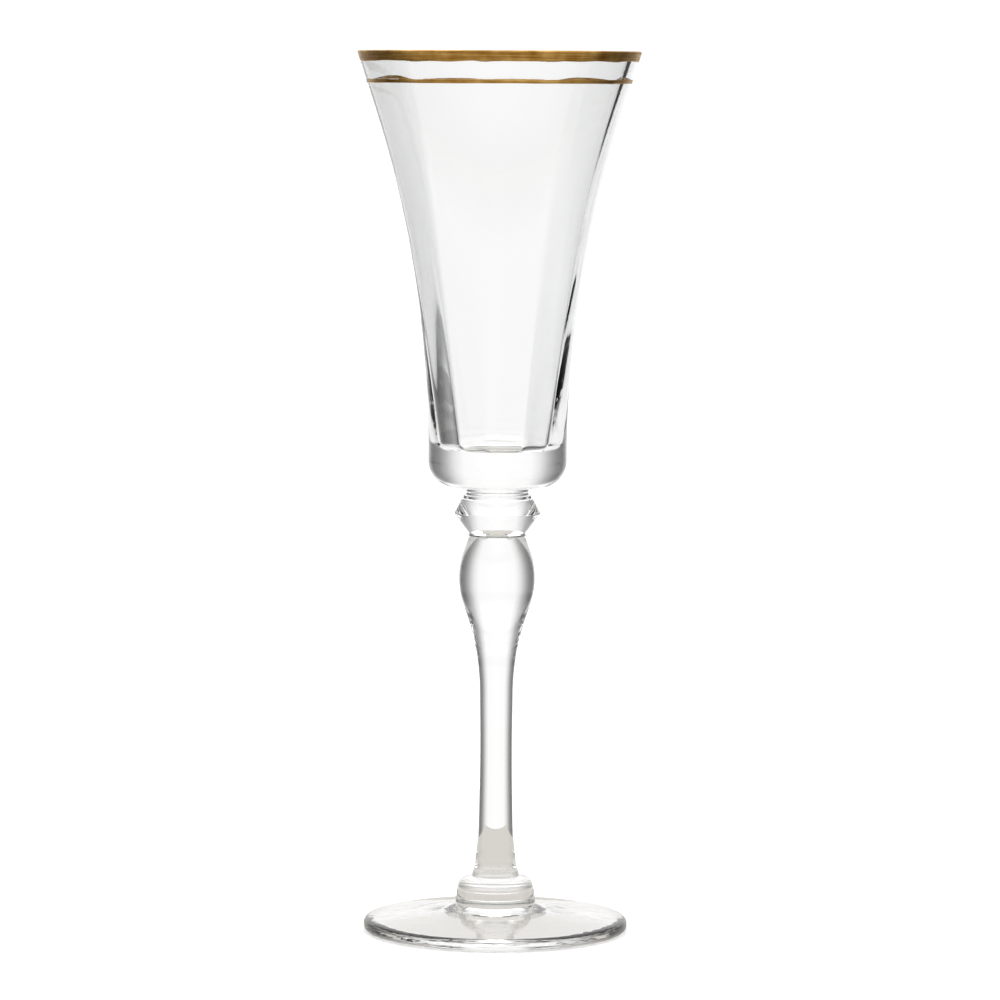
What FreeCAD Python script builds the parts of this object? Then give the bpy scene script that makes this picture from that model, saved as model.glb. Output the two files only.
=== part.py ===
import FreeCAD, Part
import math
import os
import re
import Sketcher

# A champagne flute, in millimetres. +Z is up and the origin is the centre of the resting plane.
# Each piece is turned about Z from one outline of straight sides and rounded corners. The outline
# is drawn upwards from the piece's own lower face, and the piece stands on the one below it.

SIZES = {
    # foot: a low dome with a flat resting ring under its edge
    "foot_radius": 38.15,
    "foot_rim_height": 3.3,
    "foot_rim_round": 1.35,
    "foot_apron_radius": 15.3,
    "foot_apron_height": 6.35,
    "foot_apron_round": 3.0,
    "foot_crown_height": 7.6,
    "kick_height": 3.2,
    "kick_flat_radius": 12.0,
    "kick_radius": 34.3,
    "kick_round": 16.0,
    # collar: shallow tiers under a rounded shoulder
    "collar_radius": 11.5,
    "collar_height": 8.1,
    "tier_height": 2.2,
    "tier_step": 0.32,
    "tier_round": 0.14,
    "shoulder_height": 7.0,
    "shoulder_round": 2.7,
    # stem: a slim column that swells into a bulb and ends in a short neck
    "stem_height": 99.0,
    "stem_foot_radius": 6.9,
    "ankle_radius": 6.05,
    "ankle_height": 3.2,
    "ankle_round": 2.0,
    "calf_radius": 5.0,
    "calf_height": 12.8,
    "calf_round": 60.0,
    "waist_radius": 4.55,
    "waist_height": 34.3,
    "waist_round": 600.0,
    "throat_radius": 4.95,
    "throat_height": 65.4,
    "throat_round": 70.0,
    "bulb_corner_radius": 12.46,
    "bulb_corner_height": 87.05,
    "bulb_round": 23.6,
    "stem_lip_radius": 8.2,
    "stem_lip_height": 98.4,
    "stem_lip_round": 0.3,
    "neck_radius": 7.8,
    # thin disc between the stem and the knop
    "stem_wafer_radius": 8.3,
    "stem_wafer_height": 0.45,
    "stem_wafer_round": 0.12,
    # knop: two cones joined at their wide ends, on a short neck
    "knop_radius": 12.45,
    "knop_height": 10.25,
    "knop_edge_height": 6.05,
    "knop_edge_round": 0.3,
    "knop_lip_radius": 8.3,
    "knop_lip_height": 0.55,
    "knop_lip_round": 0.3,
    "knop_top_radius": 10.3,
    # ring and neck under the bowl
    "bowl_ring_radius": 9.85,
    "bowl_ring_height": 1.1,
    "bowl_ring_round": 0.3,
    "bowl_neck_radius": 9.0,
    "bowl_neck_round": 0.4,
    "bowl_wafer_height": 3.3,
    # bowl: a thick-based cup with a trumpet mouth
    "bowl_height": 125.18,
    "bowl_base_radius": 20.0,
    "bowl_base_round": 7.8,
    "trumpet_round": 322.0,
    "mouth_slope": 0.318,
    "mouth_radius": 40.75,
    "mouth_wall": 1.8,
    "lip_round": 0.75,
    "floor_thickness": 10.8,
    "floor_radius": 12.7,
    "floor_round": 3.0,
    "cavity_bend_height": 86.4,
    "cavity_bend_round": 400.0,
    # gilding
    "gold_thickness": 0.12,
    "rim_gold_height": 3.2,
    "rim_gold_inner_height": 1.3,
    "gold_line_depth": 8.0,
    "gold_line_width": 1.35,
}

TIERS = 3
FULL_TURN = 360


def make_sheet(doc):
    """Put every driving dimension in a cell of its own, under its name."""
    sheet = doc.addObject("Spreadsheet::Sheet", "Sizes")
    for row, (alias, size) in enumerate(SIZES.items(), start=1):
        sheet.set(f"A{row}", alias)
        sheet.set(f"B{row}", str(size))
        sheet.setAlias(f"B{row}", alias)
    doc.recompute()


def from_sheet(formula):
    """Point each dimension named in a formula at its cell."""
    return re.sub("[a-z_]+", lambda word: "Sizes." + word[0] if word[0] in SIZES else word[0], formula)


def hold(sketch, constraint, formula):
    """Add a constraint whose size follows a formula."""
    index = sketch.addConstraint(constraint)
    if formula != "0":
        sketch.setExpression(f"Constraints[{index}]", from_sheet(formula))


def corner_arc(before, corner, after, radius):
    """The arc that rounds a corner, the points where it starts and ends, and whether it turns left."""
    inward = (corner - before).normalize()
    outward = (after - corner).normalize()
    turn = inward.getAngle(outward)
    reach = radius * math.tan(turn / 2)
    start = corner - inward * reach
    end = corner + outward * reach
    turns_left = inward.cross(outward).z > 0
    side = FreeCAD.Vector(-inward.y, inward.x, 0) * (1 if turns_left else -1)
    centre = start + side * radius
    first, last = (start, end) if turns_left else (end, start)
    first_angle = math.atan2(first.y - centre.y, first.x - centre.x)
    last_angle = math.atan2(last.y - centre.y, last.x - centre.x)
    circle = Part.Circle(centre, FreeCAD.Vector(0, 0, 1), radius)
    return Part.ArcOfCircle(circle, first_angle, last_angle), start, end, turns_left


def draw_outline(sketch, corners):
    """Draw a closed outline; each corner is the formulas of its radius, its height and its rounding."""
    count = len(corners)
    points = []
    for radius, height, _ in corners:
        across = sketch.evalExpression(from_sheet(radius))
        up = sketch.evalExpression(from_sheet(height))
        points.append(FreeCAD.Vector(across, up, 0))

    marks = []
    for point, (radius, height, _) in zip(points, corners):
        mark = sketch.addGeometry(Part.Point(point), True)
        hold(sketch, Sketcher.Constraint("DistanceX", -1, 1, mark, 1, point.x), radius)
        hold(sketch, Sketcher.Constraint("DistanceY", -1, 1, mark, 1, point.y), height)
        marks.append(mark)

    arcs = {}
    starts = list(points)
    ends = list(points)
    for index, (_, _, rounding) in enumerate(corners):
        if rounding:
            size = sketch.evalExpression(from_sheet(rounding))
            following = points[(index + 1) % count]
            arc, ends[index], starts[index], turns_left = corner_arc(
                points[index - 1], points[index], following, size)
            arcs[index] = (sketch.addGeometry(arc), turns_left)
            hold(sketch, Sketcher.Constraint("Radius", arcs[index][0], size), rounding)

    sides = []
    for index in range(count):
        following = (index + 1) % count
        side = sketch.addGeometry(Part.LineSegment(starts[index], ends[following]))
        sides.append(side)
        if index in arcs:
            sketch.addConstraint(Sketcher.Constraint("PointOnObject", marks[index], 1, side))
        else:
            sketch.addConstraint(Sketcher.Constraint("Coincident", marks[index], 1, side, 1))
        if following in arcs:
            sketch.addConstraint(Sketcher.Constraint("PointOnObject", marks[following], 1, side))
        else:
            sketch.addConstraint(Sketcher.Constraint("Coincident", marks[following], 1, side, 2))

    for index, (arc, turns_left) in arcs.items():
        arc_start, arc_end = (1, 2) if turns_left else (2, 1)
        sketch.addConstraint(Sketcher.Constraint("Tangent", sides[index - 1], 2, arc, arc_start))
        sketch.addConstraint(Sketcher.Constraint("Tangent", sides[index], 1, arc, arc_end))


def turned_piece(doc, name, corners, base):
    """Turn an outline about Z into a body that stands at the height the base formula gives."""
    body = doc.addObject("PartDesign::Body", name)
    body.Label = name
    planes = {plane.Role: plane for plane in body.Origin.OriginFeatures}
    sketch = body.newObject("Sketcher::SketchObject", name + "_outline")
    sketch.AttachmentSupport = (planes["XZ_Plane"], [""])
    sketch.MapMode = "FlatFace"
    draw_outline(sketch, corners)
    turning = body.newObject("PartDesign::Revolution", name + "_turning")
    turning.Profile = sketch
    turning.ReferenceAxis = (sketch, ["V_Axis"])
    turning.Angle = FULL_TURN
    body.Tip = turning
    body.setExpression("Placement.Base.z", from_sheet(base))
    return body


def foot_corners():
    """A dome that is hollowed a little underneath, so that only the ring near its edge rests."""
    return [
        ("0", "kick_height", None),
        ("kick_flat_radius", "kick_height", "kick_round"),
        ("kick_radius", "0", "kick_round"),
        ("foot_radius", "0", "foot_rim_round"),
        ("foot_radius", "foot_rim_height", "foot_rim_round"),
        ("foot_apron_radius", "foot_apron_height", "foot_apron_round"),
        ("collar_radius", "foot_crown_height", None),
        ("0", "foot_crown_height", None),
    ]


def collar_corners():
    """A stack of tiers, each a step narrower than the one below, then the shoulder."""
    corners = [("0", "0", None), ("collar_radius", "0", None)]
    for tier in range(1, TIERS):
        ledge = f"{tier} * tier_height"
        corners.append((f"collar_radius - {tier - 1} * tier_step", ledge, "tier_round"))
        corners.append((f"collar_radius - {tier} * tier_step", ledge, "tier_round"))
    corners.append((f"collar_radius - {TIERS - 1} * tier_step", "shoulder_height", "shoulder_round"))
    corners.append(("stem_foot_radius", "collar_height", None))
    corners.append(("0", "collar_height", None))
    return corners


def stem_corners():
    """A column that flares into its lower end and swells into the bulb under its top lip."""
    return [
        ("0", "0", None),
        ("stem_foot_radius", "0", None),
        ("ankle_radius", "ankle_height", "ankle_round"),
        ("calf_radius", "calf_height", "calf_round"),
        ("waist_radius", "waist_height", "waist_round"),
        ("throat_radius", "throat_height", "throat_round"),
        ("bulb_corner_radius", "bulb_corner_height", "bulb_round"),
        ("stem_lip_radius", "stem_lip_height", "stem_lip_round"),
        ("neck_radius", "stem_height", None),
        ("0", "stem_height", None),
    ]


def stem_wafer_corners():
    """A thin disc with a rounded edge."""
    return [
        ("0", "0", None),
        ("stem_wafer_radius", "0", "stem_wafer_round"),
        ("stem_wafer_radius", "stem_wafer_height", "stem_wafer_round"),
        ("0", "stem_wafer_height", None),
    ]


def knop_corners():
    """Two cones that meet in a narrow edge, above a lip and a short neck."""
    return [
        ("0", "0", None),
        ("neck_radius", "0", None),
        ("knop_lip_radius", "knop_lip_height", "knop_lip_round"),
        ("knop_radius", "knop_edge_height", "knop_edge_round"),
        ("knop_top_radius", "knop_height", None),
        ("0", "knop_height", None),
    ]


def bowl_wafer_corners():
    """A ring with a narrower neck that carries the bowl."""
    return [
        ("0", "0", None),
        ("bowl_ring_radius", "0", "bowl_ring_round"),
        ("bowl_ring_radius", "bowl_ring_height", "bowl_ring_round"),
        ("bowl_neck_radius", "bowl_ring_height", "bowl_neck_round"),
        ("bowl_neck_radius", "bowl_wafer_height", None),
        ("0", "bowl_wafer_height", None),
    ]


def mouth_side(depth, offset="0"):
    """The radius of the bowl's outer side at a depth below the mouth, where the side is straight."""
    return f"mouth_radius - mouth_slope * ({depth}) + ({offset})"


def bowl_corners():
    """A cup with a thick base, a straight lower side and a trumpet mouth."""
    cavity_bend_depth = "bowl_height - cavity_bend_height"
    return [
        ("0", "0", None),
        ("bowl_base_radius", "0", "bowl_base_round"),
        ("bowl_base_radius", "bowl_height - (mouth_radius - bowl_base_radius) / mouth_slope",
         "trumpet_round"),
        ("mouth_radius", "bowl_height", "lip_round"),
        ("mouth_radius - mouth_wall", "bowl_height", "lip_round"),
        (mouth_side(cavity_bend_depth, "-mouth_wall"), "cavity_bend_height", "cavity_bend_round"),
        ("floor_radius", "floor_thickness", "floor_round"),
        ("0", "floor_thickness", None),
    ]


def rim_gold_corners():
    """A film over the lip, further down outside than inside."""
    skin = "gold_thickness * sqrt(1 + pow(mouth_slope; 2))"
    outer_round = "lip_round + gold_thickness"
    top = "bowl_height + gold_thickness"
    outer_end = "bowl_height - rim_gold_height"
    inner_end = "bowl_height - rim_gold_inner_height"
    return [
        (mouth_side("rim_gold_height"), outer_end, None),
        (mouth_side("rim_gold_height", skin), outer_end, None),
        (mouth_side("-gold_thickness", skin), top, outer_round),
        (mouth_side("-gold_thickness", f"-mouth_wall - {skin}"), top, outer_round),
        (mouth_side("rim_gold_inner_height", f"-mouth_wall - {skin}"), inner_end, None),
        (mouth_side("rim_gold_inner_height", "-mouth_wall"), inner_end, None),
        ("mouth_radius - mouth_wall", "bowl_height", "lip_round"),
        ("mouth_radius", "bowl_height", "lip_round"),
    ]


def gold_line_corners():
    """A narrow film round the outer side, a little below the rim band."""
    skin = "gold_thickness * sqrt(1 + pow(mouth_slope; 2))"
    lower_depth = "gold_line_depth + gold_line_width"
    return [
        (mouth_side(lower_depth), f"bowl_height - ({lower_depth})", None),
        (mouth_side(lower_depth, skin), f"bowl_height - ({lower_depth})", None),
        (mouth_side("gold_line_depth", skin), "bowl_height - gold_line_depth", None),
        (mouth_side("gold_line_depth"), "bowl_height - gold_line_depth", None),
    ]


def make_flute(doc):
    """Stack the glass pieces from the foot to the bowl, then lay the gilding on the bowl."""
    glass = [
        ("foot", foot_corners(), "foot_crown_height"),
        ("foot_collar", collar_corners(), "collar_height"),
        ("stem", stem_corners(), "stem_height"),
        ("stem_wafer", stem_wafer_corners(), "stem_wafer_height"),
        ("knop", knop_corners(), "knop_height"),
        ("bowl_wafer", bowl_wafer_corners(), "bowl_wafer_height"),
    ]
    pieces = []
    base = "0"
    for name, corners, height in glass:
        pieces.append(turned_piece(doc, name, corners, base))
        base = f"{base} + {height}"
    pieces.append(turned_piece(doc, "bowl", bowl_corners(), base))
    pieces.append(turned_piece(doc, "rim_gold_band", rim_gold_corners(), base))
    pieces.append(turned_piece(doc, "gold_line", gold_line_corners(), base))
    return pieces


def check(doc, pieces):
    """Stop if anything in the document failed or a piece is not one sound solid."""
    for item in doc.Objects:
        if "Invalid" in item.State or "Error" in item.State:
            raise RuntimeError(f"{item.Name} failed: {item.State}")
    for piece in pieces:
        shape = piece.Shape
        if shape.isNull() or not shape.isValid() or len(shape.Solids) != 1:
            raise RuntimeError(f"{piece.Label} is not one valid solid")


def write_steps(pieces):
    """Write each piece to a file of its own."""
    os.makedirs("parts", exist_ok=True)
    for piece in pieces:
        piece.Shape.exportStep(f"parts/{piece.Label}.step")
        box = piece.Shape.optimalBoundingBox()
        print(f"{piece.Label}: {piece.Shape.Volume:.1f} mm3, z {box.ZMin:.2f} to {box.ZMax:.2f}, "
              f"radius {box.XMax:.2f}")


document = FreeCAD.newDocument("champagne_flute")
make_sheet(document)
flute = make_flute(document)
document.recompute()
check(document, flute)
write_steps(flute)
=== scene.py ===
"""A champagne flute: clear glass pieces turned round one axis, with brushed gilding."""

import functools
import math
import random
from types import SimpleNamespace

import bpy
import numpy as np
from mathutils import Matrix, Vector


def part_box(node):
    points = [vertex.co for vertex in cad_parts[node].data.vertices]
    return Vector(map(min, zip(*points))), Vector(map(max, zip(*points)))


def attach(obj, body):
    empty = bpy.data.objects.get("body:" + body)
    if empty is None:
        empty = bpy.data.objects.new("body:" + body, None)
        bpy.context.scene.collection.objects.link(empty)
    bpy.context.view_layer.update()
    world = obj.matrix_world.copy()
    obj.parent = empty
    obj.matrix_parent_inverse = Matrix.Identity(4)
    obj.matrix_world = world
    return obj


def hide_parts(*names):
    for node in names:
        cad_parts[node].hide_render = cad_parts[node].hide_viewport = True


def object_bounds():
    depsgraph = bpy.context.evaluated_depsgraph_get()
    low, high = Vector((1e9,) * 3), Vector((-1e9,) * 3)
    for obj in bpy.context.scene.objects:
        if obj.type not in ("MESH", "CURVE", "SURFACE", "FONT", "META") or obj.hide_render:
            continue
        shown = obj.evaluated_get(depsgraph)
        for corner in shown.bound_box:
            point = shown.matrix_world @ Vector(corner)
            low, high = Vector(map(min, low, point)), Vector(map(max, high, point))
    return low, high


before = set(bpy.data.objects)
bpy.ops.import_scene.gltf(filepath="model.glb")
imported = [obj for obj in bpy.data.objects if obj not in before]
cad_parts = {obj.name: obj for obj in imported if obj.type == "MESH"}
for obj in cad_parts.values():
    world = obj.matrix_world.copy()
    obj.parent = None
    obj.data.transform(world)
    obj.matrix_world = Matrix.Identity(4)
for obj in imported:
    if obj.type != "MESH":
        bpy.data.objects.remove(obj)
cad_low, cad_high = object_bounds()

MM = 0.001
HEIGHT = cad_high.z - cad_low.z

# Sizes in millimetres that the frame's boxes don't give. Heights start at each piece's lower face.
size = SimpleNamespace(
    foot_rim_height=3.3, foot_rim_round=1.35,
    apron_radius=15.3, apron_height=6.35, apron_round=3.0,
    kick_height=3.2, kick_flat_radius=12.0, kick_radius=34.3, kick_round=16.0,
    tier_height=2.2, tier_step=0.32, tier_round=0.14,
    shoulder_height=7.0, shoulder_round=2.7, stem_foot_radius=6.9,
    ankle_radius=6.05, ankle_height=3.2, ankle_round=2.0,
    calf_radius=5.0, calf_height=12.8, calf_round=60.0,
    waist_radius=4.55, waist_height=34.3, waist_round=600.0,
    throat_radius=4.95, throat_height=65.4, throat_round=70.0,
    bulb_corner_radius=12.46, bulb_corner_height=87.05, bulb_round=23.6,
    stem_lip_radius=8.2, stem_lip_height=98.4, stem_lip_round=0.3,
    seam_radius=7.8, stem_wafer_round=0.12,
    knop_lip_radius=8.3, knop_lip_height=0.55, knop_lip_round=0.3,
    knop_radius=12.45, knop_edge_height=6.05, knop_edge_round=0.3, knop_top_radius=10.3,
    ring_height=1.1, ring_round=0.3, neck_radius=9.0, neck_round=0.4,
    base_radius=20.0, base_round=7.8, trumpet_round=322.0,
    mouth_slope=0.318, mouth_radius=40.75, mouth_wall=1.8, lip_round=0.4,
    floor_thickness=10.8, floor_radius=12.7, floor_round=3.0,
    bend_height=86.4, bend_round=400.0,
)
TIERS = 3

# How finely the turned surfaces are divided.
SMALL_SEGMENTS = 128
WIDE_SEGMENTS = 288
ARC_STEP = math.radians(4)
SIDE_STEP = 1.3 * MM

# Soft flat panels round the cavity.
PANELS = 10
PANEL_TURN = math.radians(10)
PANEL_SHARPNESS = 40
PANEL_SHARE_LOW = 1.0
PANEL_SHARE_HIGH = 0.25

# Gilding, laid on the straight outer side under the lip.
GOLD_PROUD = 0.05 * MM
GOLD_SUNK = 0.02 * MM
GOLD_SEGMENTS = 720
SEED = 7
# A film's thickness follows half a sine wave, less this share of it at each edge.
FILM_EDGE = 0.15

# The thin line: how far its edges lie inside its CAD node, and how far they wander.
LINE_WAVES = (1, 2, 3, 5, 8, 13, 21)
LINE_UPPER_INSET = 0.12 * MM
LINE_UPPER_WANDER = 0.05 * MM
LINE_LOWER_INSET = 0.2 * MM
LINE_LOWER_WANDER = 0.08 * MM
LINE_STEPS = 6

# The rim band: how far it reaches down the outside and the inside, and how far its edges wander.
BAND_WAVES = (2, 3, 4, 7, 9, 14, 19, 26)
BAND_OUTER_REACH = 3.3 * MM
BAND_INNER_REACH = 1.6 * MM
BAND_WANDER = 0.3 * MM
BAND_STEPS = 22
# Depths in millimetres to which the outline under the band is drawn, both past the band's own ends.
BAND_OUTER_DEPTH = 6
BAND_INNER_DEPTH = 4
BAND_SLOPE_SPAN = 0.02 * MM


@functools.cache
def node_box(node):
    """A CAD node's lowest and highest corners."""
    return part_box(node)


# ---------------------------------------------------------------- outlines

def corner_points(before, corner, after, rounding):
    """Points along the arc that rounds a corner."""
    inward = (corner - before).normalized()
    outward = (after - corner).normalized()
    turn = inward.angle(outward)
    start = corner - inward * rounding * math.tan(turn / 2)
    sign = 1 if inward.cross(outward) > 0 else -1
    centre = start + Vector((-inward.y, inward.x)) * sign * rounding
    count = max(2, math.ceil(turn / ARC_STEP), math.ceil(turn * rounding / SIDE_STEP))
    arm = start - centre
    return [centre + Matrix.Rotation(sign * turn * step / count, 2) @ arm for step in range(count + 1)]


def trace(corners):
    """Points along an outline of (radius, height, rounding) corners, and which of them stay sharp."""
    places = [Vector(corner[:2]) for corner in corners]
    points = []
    sharp = []
    for index, (place, corner) in enumerate(zip(places, corners)):
        rounding = corner[2]
        run = [place]
        if rounding:
            run = corner_points(places[index - 1], place, places[index + 1], rounding)
        if points:
            last = points[-1]
            gap = run[0] - last
            count = max(1, math.ceil(gap.length / SIDE_STEP))
            points += [last + gap * step / count for step in range(1, count)]
            sharp += [False] * (count - 1)
        points += run
        sharp += [not rounding] * len(run)
    return points, sharp


def in_metres(corners, base):
    """Outline corners given in millimetres above a base height, as points in the frame."""
    return [(radius * MM, height * MM + base, rounding * MM) for radius, height, rounding in corners]


# ---------------------------------------------------------------- meshes

def ring_vertices(radius, height, segments):
    """Points round the axis; radius is one number, or one for each point."""
    angles = np.arange(segments) * math.tau / segments
    radii = np.broadcast_to(radius, segments)
    heights = np.broadcast_to(height, segments)
    return np.column_stack([radii * np.sin(angles), -radii * np.cos(angles), heights])


def turned_mesh(name, points, sharp, segments, joined=(), radii=None):
    """Turn an outline that starts and ends on the axis into a closed mesh.

    joined holds the numbers of the outline's stretches that are fused to another piece, and get
    material slot 1. radii may replace a point's radius by one radius for each segment."""
    inner = points[1:-1]
    rings = [ring_vertices(radii[index + 1] if radii else point.x, point.y, segments)
             for index, point in enumerate(inner)]
    poles = np.array([[0, 0, points[0].y], [0, 0, points[-1].y]])
    vertices = np.vstack([poles] + rings)
    faces = []
    slots = []
    for stretch in range(len(points) - 1):
        low = 2 + (stretch - 1) * segments
        high = low + segments
        for here in range(segments):
            after = (here + 1) % segments
            if stretch == 0:
                faces.append((0, high + after, high + here))
            elif stretch == len(points) - 2:
                faces.append((1, low + here, low + after))
            else:
                faces.append((low + here, low + after, high + after, high + here))
            slots.append(int(stretch in joined))
    mesh = bpy.data.meshes.new(name)
    mesh.from_pydata(vertices.tolist(), [], faces)
    mesh.polygons.foreach_set("material_index", slots)
    mesh.shade_smooth()
    sharp_starts = {2 + index * segments for index in range(len(inner)) if sharp[index + 1]}
    for edge in mesh.edges:
        first, second = min(edge.vertices), max(edge.vertices)
        start = first - (first - 2) % segments
        if start in sharp_starts and second < start + segments:
            edge.use_edge_sharp = True
    mesh.validate()
    return mesh


def add_piece(mesh, node, materials):
    """Show a mesh in place of a CAD node."""
    piece = bpy.data.objects.new(mesh.name, mesh)
    bpy.context.scene.collection.objects.link(piece)
    for material in materials:
        mesh.materials.append(material)
    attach(piece, "root")
    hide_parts(node)
    return piece


# ---------------------------------------------------------------- materials

def new_material(name):
    """A node material with nothing in it but its output."""
    material = bpy.data.materials.new(name)
    material.use_nodes = True
    material.node_tree.nodes.clear()
    output = material.node_tree.nodes.new("ShaderNodeOutputMaterial")
    return material, output


def add_node(tree, kind, inputs, **settings):
    """A node with its settings; an input is a value, or another node's socket to link."""
    node = tree.nodes.new(kind)
    for key, value in settings.items():
        setattr(node, key, value)
    for key, value in inputs.items():
        if isinstance(value, bpy.types.NodeSocket):
            tree.links.new(value, node.inputs[key])
        else:
            node.inputs[key].default_value = value
    return node


CLEAR = (0.965, 0.97, 0.967, 1)
# A dark tint for the thin disc under the knop: painted shade for the dark line along its edge, which clear
# glass shows only by how it bends light.
PAINTED_SHADE_TINT = (0.12, 0.12, 0.12, 1)
# Upright cords in the blown pieces and soft ripples in the pressed foot, in waves per metre.
CORDS = (900, 900, 40)
CORD_DEPTH = 0.004 * MM
RIPPLES = (150, 150, 60)
RIPPLE_DEPTH = 0.06 * MM


def make_glass(name, color, scale, depth):
    """Glass with the faint unevenness of hand work; scale sets how fine it is along each axis."""
    material, output = new_material(name)
    tree = material.node_tree
    place = add_node(tree, "ShaderNodeTexCoord", {}).outputs["Object"]
    stretched = add_node(tree, "ShaderNodeMapping", {"Vector": place, "Scale": scale})
    uneven = add_node(tree, "ShaderNodeTexNoise", {"Vector": stretched.outputs[0], "Scale": 1, "Detail": 2})
    bump = add_node(tree, "ShaderNodeBump", {"Height": uneven.outputs[0], "Strength": 1.0,
                                             "Distance": depth})
    shader = add_node(tree, "ShaderNodeBsdfPrincipled", {
        "Base Color": color, "Roughness": 0.0, "IOR": 1.5,
        "Transmission Weight": 1.0, "Normal": bump.outputs[0]})
    tree.links.new(shader.outputs[0], output.inputs[0])
    return material


def make_joint():
    """The fused face between two pieces of glass, where light passes straight on."""
    material, output = new_material("fused_joint")
    clear = add_node(material.node_tree, "ShaderNodeBsdfTransparent", {})
    material.node_tree.links.new(clear.outputs[0], output.inputs[0])
    return material


def make_gold():
    """Fired gold, brushed on: streaks round the glass over thick and thin patches."""
    material, output = new_material("brushed_gold")
    tree = material.node_tree
    place = add_node(tree, "ShaderNodeTexCoord", {}).outputs["Object"]
    stretched = add_node(tree, "ShaderNodeMapping", {"Vector": place, "Scale": (60, 60, 2500)})
    streaks = add_node(tree, "ShaderNodeTexNoise", {"Vector": stretched.outputs[0], "Scale": 1,
                                                    "Detail": 4, "Roughness": 0.6})
    patches = add_node(tree, "ShaderNodeTexNoise", {"Vector": place, "Scale": 180, "Detail": 3})
    mixed = add_node(tree, "ShaderNodeMath", {0: streaks.outputs[0], 1: patches.outputs[0]},
                     operation="MULTIPLY")
    tones = add_node(tree, "ShaderNodeValToRGB", {"Fac": mixed.outputs[0]})
    tones.color_ramp.elements[0].position = 0.12
    tones.color_ramp.elements[0].color = (0.28, 0.12, 0.011, 1)
    tones.color_ramp.elements[1].position = 0.42
    tones.color_ramp.elements[1].color = (0.82, 0.52, 0.17, 1)
    rough = add_node(tree, "ShaderNodeMapRange", {"Value": streaks.outputs[0], "To Min": 0.5,
                                                  "To Max": 0.28})
    bump = add_node(tree, "ShaderNodeBump", {"Height": streaks.outputs[0], "Strength": 0.5,
                                             "Distance": 0.0001})
    shader = add_node(tree, "ShaderNodeBsdfPrincipled", {
        "Base Color": tones.outputs[0], "Metallic": 1.0, "Roughness": rough.outputs[0],
        "Normal": bump.outputs[0]})
    tree.links.new(shader.outputs[0], output.inputs[0])
    return material


# ---------------------------------------------------------------- glass pieces

def glass_piece(node, corners, segments, joints, skin):
    """A turned glass piece in place of a CAD node; joints says which ends of it are fused flat faces."""
    base = node_box(node)[0].z
    points, sharp = trace(in_metres(corners, base))
    joined = set()
    for stretch in range(len(points) - 1):
        here, after = points[stretch], points[stretch + 1]
        for end, radius in joints.items():
            level = node_box(node)[end].z
            on_level = abs(here.y - level) + abs(after.y - level) < 1e-7
            if on_level and max(here.x, after.x) < radius * MM + 1e-7:
                joined.add(stretch)
    mesh = turned_mesh(node + "_glass", points, sharp, segments, joined)
    add_piece(mesh, node, [skin, joint])


def node_size(node):
    """A CAD node's radius and height in millimetres."""
    low, high = node_box(node)
    return high.x / MM, (high.z - low.z) / MM


LOW, HIGH = 0, 1


def make_foot():
    """A round foot: a low dome, hollowed a little underneath."""
    radius, height = node_size("foot")
    collar_radius = node_size("foot_collar")[0]
    corners = [
        (0, size.kick_height, 0),
        (size.kick_flat_radius, size.kick_height, size.kick_round),
        (size.kick_radius, 0, size.kick_round),
        (radius, 0, size.foot_rim_round),
        (radius, size.foot_rim_height, size.foot_rim_round),
        (size.apron_radius, size.apron_height, size.apron_round),
        (collar_radius, height, 0),
        (0, height, 0),
    ]
    glass_piece("foot", corners, WIDE_SEGMENTS, {HIGH: collar_radius}, rippled_glass)


def make_collar():
    """Shallow tiers under a rounded shoulder."""
    radius, height = node_size("foot_collar")
    corners = [(0, 0, 0), (radius, 0, 0)]
    for tier in range(1, TIERS):
        ledge = tier * size.tier_height
        corners.append((radius - (tier - 1) * size.tier_step, ledge, size.tier_round))
        corners.append((radius - tier * size.tier_step, ledge, size.tier_round))
    corners.append((radius - (TIERS - 1) * size.tier_step, size.shoulder_height, size.shoulder_round))
    corners.append((size.stem_foot_radius, height, 0))
    corners.append((0, height, 0))
    glass_piece("foot_collar", corners, SMALL_SEGMENTS,
                {LOW: radius, HIGH: size.stem_foot_radius}, glass)


def make_stem():
    """A solid column that swells into a bulb."""
    height = node_size("stem")[1]
    corners = [
        (0, 0, 0),
        (size.stem_foot_radius, 0, 0),
        (size.ankle_radius, size.ankle_height, size.ankle_round),
        (size.calf_radius, size.calf_height, size.calf_round),
        (size.waist_radius, size.waist_height, size.waist_round),
        (size.throat_radius, size.throat_height, size.throat_round),
        (size.bulb_corner_radius, size.bulb_corner_height, size.bulb_round),
        (size.stem_lip_radius, size.stem_lip_height, size.stem_lip_round),
        (size.seam_radius, height, 0),
        (0, height, 0),
    ]
    glass_piece("stem", corners, SMALL_SEGMENTS,
                {LOW: size.stem_foot_radius, HIGH: size.seam_radius}, glass)


def make_stem_wafer():
    """A thin disc between the stem and the knop, in smoky glass whose dark edge is painted shade."""
    radius, height = node_size("stem_wafer")
    corners = [
        (0, 0, 0),
        (size.seam_radius, 0, 0),
        (radius, 0, size.stem_wafer_round),
        (radius, height, size.stem_wafer_round),
        (size.seam_radius, height, 0),
        (0, height, 0),
    ]
    glass_piece("stem_wafer", corners, SMALL_SEGMENTS,
                {LOW: size.seam_radius, HIGH: size.seam_radius}, painted_shade_glass)


def make_knop():
    """Two cones that meet in a narrow edge."""
    height = node_size("knop")[1]
    ring_flat = node_size("bowl_wafer")[0] - size.ring_round
    corners = [
        (0, 0, 0),
        (size.seam_radius, 0, 0),
        (size.knop_lip_radius, size.knop_lip_height, size.knop_lip_round),
        (size.knop_radius, size.knop_edge_height, size.knop_edge_round),
        (size.knop_top_radius, height, 0),
        (ring_flat, height, 0),
        (0, height, 0),
    ]
    glass_piece("knop", corners, SMALL_SEGMENTS, {LOW: size.seam_radius, HIGH: ring_flat}, glass)


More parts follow.
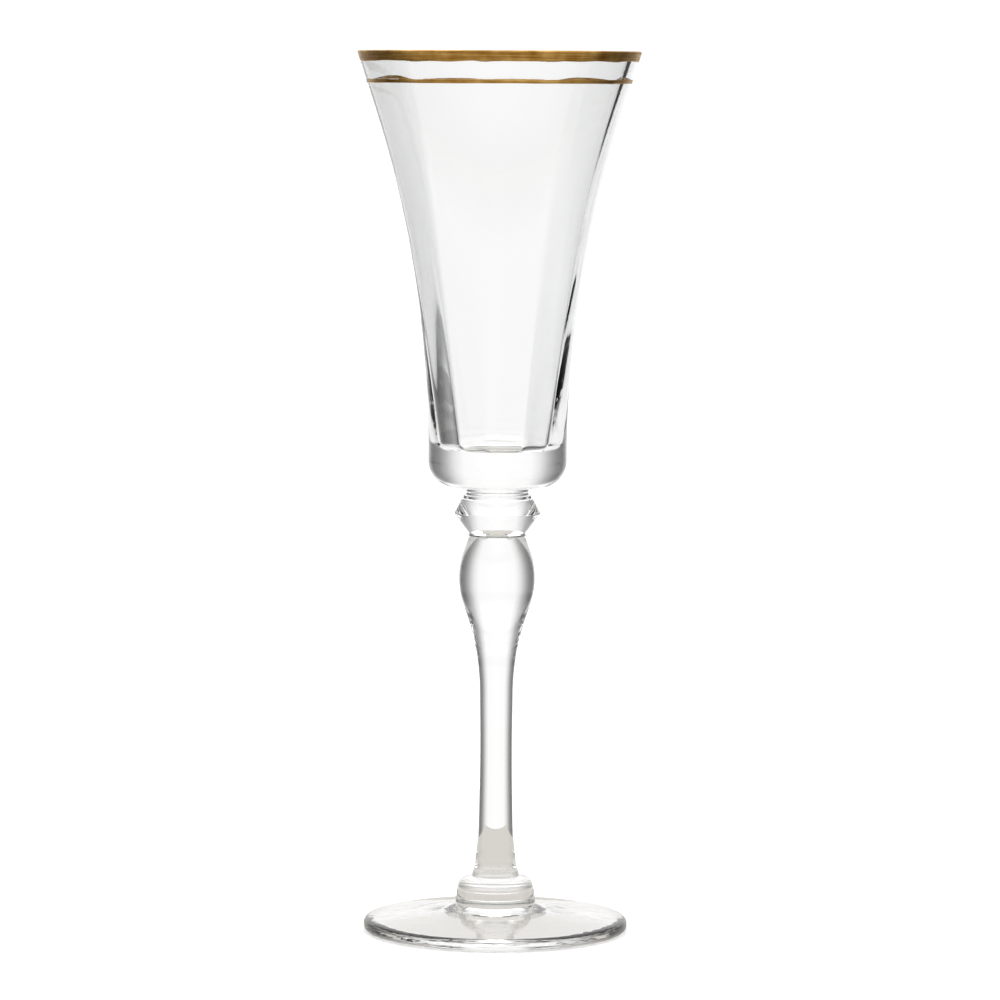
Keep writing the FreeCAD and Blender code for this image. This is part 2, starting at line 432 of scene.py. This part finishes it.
def make_bowl_wafer():
    """A ring with a narrower neck that carries the bowl."""
    radius, height = node_size("bowl_wafer")
    corners = [
        (0, 0, 0),
        (radius, 0, size.ring_round),
        (radius, size.ring_height, size.ring_round),
        (size.neck_radius, size.ring_height, size.neck_round),
        (size.neck_radius, height, 0),
        (0, height, 0),
    ]
    glass_piece("bowl_wafer", corners, SMALL_SEGMENTS,
                {LOW: radius - size.ring_round, HIGH: size.neck_radius}, glass)


def panel_share(height):
    """How flat the cavity's panels are at a height above the bowl's lower face: 1 is a true polygon."""
    up = (height - size.floor_thickness) / (node_size("bowl")[1] - size.floor_thickness)
    return PANEL_SHARE_LOW + (PANEL_SHARE_HIGH - PANEL_SHARE_LOW) * min(1, max(0, up))


def panel_radii(radius, share):
    """The cavity's radius round a ring: a soft polygon mixed with the circle round it."""
    angles = np.arange(WIDE_SEGMENTS) * math.tau / WIDE_SEGMENTS - PANEL_TURN
    total = sum(np.maximum(0, np.cos(angles - math.tau * panel / PANELS)) ** PANEL_SHARPNESS
                for panel in range(PANELS))
    polygon = total ** (-1 / PANEL_SHARPNESS)
    polygon = polygon / polygon.max()
    return radius * (1 - share * (1 - polygon))


def make_bowl():
    """A trumpet bowl on a thick base, with soft panels round the inside."""
    low = node_box("bowl")[0].z
    height = node_size("bowl")[1]
    bend_radius = size.mouth_radius - size.mouth_wall - size.mouth_slope * (height - size.bend_height)
    trumpet_height = height - (size.mouth_radius - size.base_radius) / size.mouth_slope
    corners = [
        (0, 0, 0),
        (size.neck_radius, 0, 0),
        (size.base_radius, 0, size.base_round),
        (size.base_radius, trumpet_height, size.trumpet_round),
        (size.mouth_radius, height, size.lip_round),
        (size.mouth_radius - size.mouth_wall, height, size.lip_round),
        (bend_radius, size.bend_height, size.bend_round),
        (size.floor_radius, size.floor_thickness, size.floor_round),
        (0, size.floor_thickness, 0),
    ]
    points, sharp = trace(in_metres(corners, low))
    joined = {stretch for stretch in range(len(points) - 1)
              if points[stretch].y == low and points[stretch + 1].x < size.neck_radius * MM + 1e-7
              and points[stretch + 1].y == low}
    top = max(range(len(points)), key=lambda index: points[index].y)
    radii = []
    for index, point in enumerate(points):
        if index > top:
            radii.append(panel_radii(point.x, panel_share((point.y - low) / MM)))
        else:
            radii.append(point.x)
    mesh = turned_mesh("bowl_glass", points, sharp, WIDE_SEGMENTS, joined, radii)
    add_piece(mesh, "bowl", [glass, joint])


# ---------------------------------------------------------------- gilding

def wander(rng, waves, reach):
    """A smooth random line round the glass, between about -reach and reach."""
    angles = np.arange(GOLD_SEGMENTS) * math.tau / GOLD_SEGMENTS
    line = np.zeros(GOLD_SEGMENTS)
    for count in waves:
        line += rng.uniform(0.3, 1) * np.sin(count * angles + rng.uniform(0, math.tau))
    return line * reach / np.abs(line).max()


def film_mesh(name, path):
    """A closed film along a path of (radius, height, outward radius, outward height) arrays.

    It is thickest in the middle and thins towards its edges."""
    rows = []
    last = len(path) - 1
    for index, (radius, height, out_radius, out_height) in enumerate(path):
        across = FILM_EDGE + (1 - 2 * FILM_EDGE) * index / last
        thick = GOLD_PROUD * math.sin(math.pi * across)
        rows.append(ring_vertices(radius + out_radius * thick, height + out_height * thick, GOLD_SEGMENTS))
    for radius, height, out_radius, out_height in reversed(path):
        rows.append(ring_vertices(radius - out_radius * GOLD_SUNK, height - out_height * GOLD_SUNK,
                                  GOLD_SEGMENTS))
    faces = []
    for row in range(len(rows)):
        low = row * GOLD_SEGMENTS
        high = (row + 1) % len(rows) * GOLD_SEGMENTS
        for here in range(GOLD_SEGMENTS):
            after = (here + 1) % GOLD_SEGMENTS
            faces.append((low + here, low + after, high + after, high + here))
    mesh = bpy.data.meshes.new(name)
    mesh.from_pydata(np.vstack(rows).tolist(), [], faces)
    mesh.shade_smooth()
    mesh.validate()
    return mesh


def side_radius(depth):
    """The bowl's outer radius at a depth below the mouth, on the straight stretch under the lip."""
    return (size.mouth_radius - size.mouth_slope * depth) * MM


def make_gold_line():
    """A thin brushed line round the outside, a little below the rim."""
    rng = random.Random(SEED)
    low, high = node_box("gold_line")
    mouth = node_box("bowl")[1].z
    tilt = math.atan(size.mouth_slope)
    upper = high.z - LINE_UPPER_INSET + wander(rng, LINE_WAVES, LINE_UPPER_WANDER)
    lower = low.z + LINE_LOWER_INSET + wander(rng, LINE_WAVES, LINE_LOWER_WANDER)
    path = []
    for step in range(LINE_STEPS + 1):
        height = lower + (upper - lower) * step / LINE_STEPS
        radius = side_radius((mouth - height) / MM)
        path.append((radius, height, math.cos(tilt), -math.sin(tilt)))
    add_piece(film_mesh("gold_line_film", path), "gold_line", [gold])


def make_rim_gold():
    """A brushed band over the lip, with an uneven lower edge."""
    rng = random.Random(SEED + 1)
    mouth = node_box("bowl")[1].z
    height = node_size("bowl")[1]
    corners = [
        (size.mouth_radius - size.mouth_slope * BAND_OUTER_DEPTH, height - BAND_OUTER_DEPTH, 0),
        (size.mouth_radius, height, size.lip_round),
        (size.mouth_radius - size.mouth_wall, height, size.lip_round),
        (size.mouth_radius - size.mouth_wall - size.mouth_slope * BAND_INNER_DEPTH,
         height - BAND_INNER_DEPTH, 0),
    ]
    outline = trace(in_metres(corners, mouth - height * MM))[0]
    lengths = np.cumsum([0] + [(b - a).length for a, b in zip(outline, outline[1:])])
    radii = np.array([point.x for point in outline])
    heights = np.array([point.y for point in outline])
    lip = lengths[int(np.argmax(heights))]
    start = lip - BAND_OUTER_REACH + wander(rng, BAND_WAVES, BAND_WANDER)
    end = lip + BAND_INNER_REACH + wander(rng, BAND_WAVES, BAND_WANDER)
    path = []
    for step in range(BAND_STEPS + 1):
        along = start + (end - start) * step / BAND_STEPS
        radius = np.interp(along, lengths, radii)
        level = np.interp(along, lengths, heights)
        ahead = along + BAND_SLOPE_SPAN
        behind = along - BAND_SLOPE_SPAN
        run = np.interp(ahead, lengths, radii) - np.interp(behind, lengths, radii)
        rise = np.interp(ahead, lengths, heights) - np.interp(behind, lengths, heights)
        reach = np.hypot(run, rise)
        path.append((radius, level, rise / reach, -run / reach))
    add_piece(film_mesh("rim_gold_film", path), "rim_gold_band", [gold])


# ---------------------------------------------------------------- studio

def add_sheet(name, width, near, far, height, shader, settings):
    """A flat rectangle of the studio, from a near to a far distance along Y."""
    corners = [(-width / 2, near, height), (width / 2, near, height), (width / 2, far, height),
               (-width / 2, far, height)]
    mesh = bpy.data.meshes.new(name)
    mesh.from_pydata(corners, [], [(0, 1, 2, 3)])
    sheet = bpy.data.objects.new(name, mesh)
    bpy.context.scene.collection.objects.link(sheet)
    material, output = new_material(name + "_matt")
    surface = add_node(material.node_tree, shader, settings)
    material.node_tree.links.new(surface.outputs[0], output.inputs[0])
    mesh.materials.append(material)
    return sheet


FLOOR_REACH = 400 * HEIGHT
FLOOR_HEIGHT = -0.3 * MM
FLOOR_COLOR = (0.93, 0.925, 0.92, 1)
TABLE_HEIGHT = -0.05 * MM
TABLE_LIGHT = (0.70, 0.672, 0.63, 1)
# Each part of the table: its name, its width, and its near and far edges along Y.
TABLE_PARTS = (
    ("table_back", 140 * MM, -60 * MM, 143 * MM),
    ("table_front", 1200 * MM, -600 * MM, -60 * MM),
)


def make_floor():
    """A wide pale floor, and a glowing beige table that shows only in the glass and the gold."""
    floor = add_sheet("floor", 2 * FLOOR_REACH, -FLOOR_REACH, FLOOR_REACH, FLOOR_HEIGHT,
                      "ShaderNodeBsdfDiffuse", {"Color": FLOOR_COLOR})
    floor.visible_transmission = False
    floor.visible_glossy = False
    glow = {"Color": TABLE_LIGHT, "Strength": 1.0}
    for name, width, near, far in TABLE_PARTS:
        table = add_sheet(name, width, near, far, TABLE_HEIGHT, "ShaderNodeEmission", glow)
        table.visible_camera = False
        table.visible_diffuse = False
        table.visible_shadow = False


# How bright the studio is, by the angle in degrees round from straight behind the glass: a wide lit field
# behind and dim flags beside it. The soft light from the sides and the front is only level with the glass.
BACKLIGHT = 1.06
LIT_FIELD = {0: 1.0, 20: 0.97, 27: 0.79, 35: 0.48, 45: 0.26, 60: 0.09, 80: 0.06}
AROUND_LEVEL = LIT_FIELD | {86: 0.6, 180: 0.75}
AROUND_STEEP = LIT_FIELD | {180: 0.12}
OVERHEAD_LIGHT = (2.2, 2.2, 2.2, 1)
UNDER_LIGHT = (0.95, 0.94, 0.92, 1)
# The heights of direction, from -1 straight down to 1 straight up, between which one light gives way
# to the next.
STEEP = (0.3, 0.4)
OVERHEAD = (0.45, 0.8)
UNDER = (-0.8, -0.92)


def blend_lights(tree, height, limits, before, after):
    """Blend from one light to another as a direction's height passes from the first limit to the second."""
    share = add_node(tree, "ShaderNodeMapRange", {
        "Value": height, "From Min": limits[0], "From Max": limits[1]}, interpolation_type="SMOOTHSTEP")
    return add_node(tree, "ShaderNodeMix", {0: share.outputs[0], 6: before, 7: after},
                    data_type="RGBA").outputs[2]


def light_around(tree, turn, levels):
    """The studio's brightness from a table of levels by angle; turn is 0 behind the glass and 1 in front."""
    ramp = add_node(tree, "ShaderNodeValToRGB", {"Fac": turn})
    stops = ramp.color_ramp.elements
    stops.remove(stops[1])
    for index, (degrees, level) in enumerate(levels.items()):
        stop = stops.new(degrees / 180) if index else stops[0]
        stop.color = (level * BACKLIGHT, level * BACKLIGHT, level * BACKLIGHT, 1)
    return ramp.outputs[0]


def make_light():
    """Soft light: a bright field behind the glass, a big lamp overhead and pale light from straight below."""
    world = bpy.data.worlds.new("studio")
    bpy.context.scene.world = world
    world.use_nodes = True
    tree = world.node_tree
    tree.nodes.clear()
    direction = add_node(tree, "ShaderNodeTexCoord", {}).outputs["Generated"]
    parts = add_node(tree, "ShaderNodeSeparateXYZ", {0: direction}).outputs
    aside = add_node(tree, "ShaderNodeMath", {0: parts[0]}, operation="ABSOLUTE")
    angle = add_node(tree, "ShaderNodeMath", {0: aside.outputs[0], 1: parts[1]}, operation="ARCTAN2")
    half_turns = add_node(tree, "ShaderNodeMath", {0: angle.outputs[0], 1: math.pi}, operation="DIVIDE")
    turn = half_turns.outputs[0]
    steepness = add_node(tree, "ShaderNodeMath", {0: parts[2]}, operation="ABSOLUTE").outputs[0]
    level_light = light_around(tree, turn, AROUND_LEVEL)
    steep_light = light_around(tree, turn, AROUND_STEEP)
    light = blend_lights(tree, steepness, STEEP, level_light, steep_light)
    light = blend_lights(tree, parts[2], OVERHEAD, light, OVERHEAD_LIGHT)
    light = blend_lights(tree, parts[2], UNDER, light, UNDER_LIGHT)
    background = add_node(tree, "ShaderNodeBackground", {"Color": light, "Strength": 1.0})
    output = add_node(tree, "ShaderNodeOutputWorld", {})
    tree.links.new(background.outputs[0], output.inputs[0])


CAMERA_DISTANCE = 5.547 * HEIGHT
CAMERA_HEIGHT = 0.9764 * HEIGHT
AIM_HEIGHT = 0.492 * HEIGHT
AIM_ASIDE = 0.003 * HEIGHT
LENS = 176.6
ROLL = math.radians(0.3)


def make_camera():
    """A long lens at the height of the mouth, aimed at the middle of the glass."""
    data = bpy.data.cameras.new("camera")
    data.lens = LENS
    camera = bpy.data.objects.new("camera", data)
    bpy.context.scene.collection.objects.link(camera)
    camera.location = (0, -CAMERA_DISTANCE, CAMERA_HEIGHT)
    aim = Vector((AIM_ASIDE, 0, AIM_HEIGHT)) - camera.location
    level = aim.to_track_quat("-Z", "Y").to_matrix()
    camera.rotation_euler = (level @ Matrix.Rotation(ROLL, 3, "Z")).to_euler()
    bpy.context.scene.camera = camera


def set_rendering():
    """Plain colours, and enough bounces for light to cross every wall of the glass."""
    scene = bpy.context.scene
    scene.view_settings.view_transform = "Standard"
    scene.cycles.max_bounces = 24
    scene.cycles.transmission_bounces = 24
    scene.cycles.glossy_bounces = 8
    scene.cycles.transparent_max_bounces = 24


glass = make_glass("clear_glass", CLEAR, CORDS, CORD_DEPTH)
rippled_glass = make_glass("foot_glass", CLEAR, RIPPLES, RIPPLE_DEPTH)
# Smoky glass for the thin disc under the knop: its darkness is painted shade.
painted_shade_glass = make_glass("smoky_painted_shade_glass", PAINTED_SHADE_TINT, CORDS, CORD_DEPTH)
joint = make_joint()
gold = make_gold()
make_foot()
make_collar()
make_stem()
make_stem_wafer()
make_knop()
make_bowl_wafer()
make_bowl()
make_gold_line()
make_rim_gold()
make_floor()
make_light()
make_camera()
set_rendering()
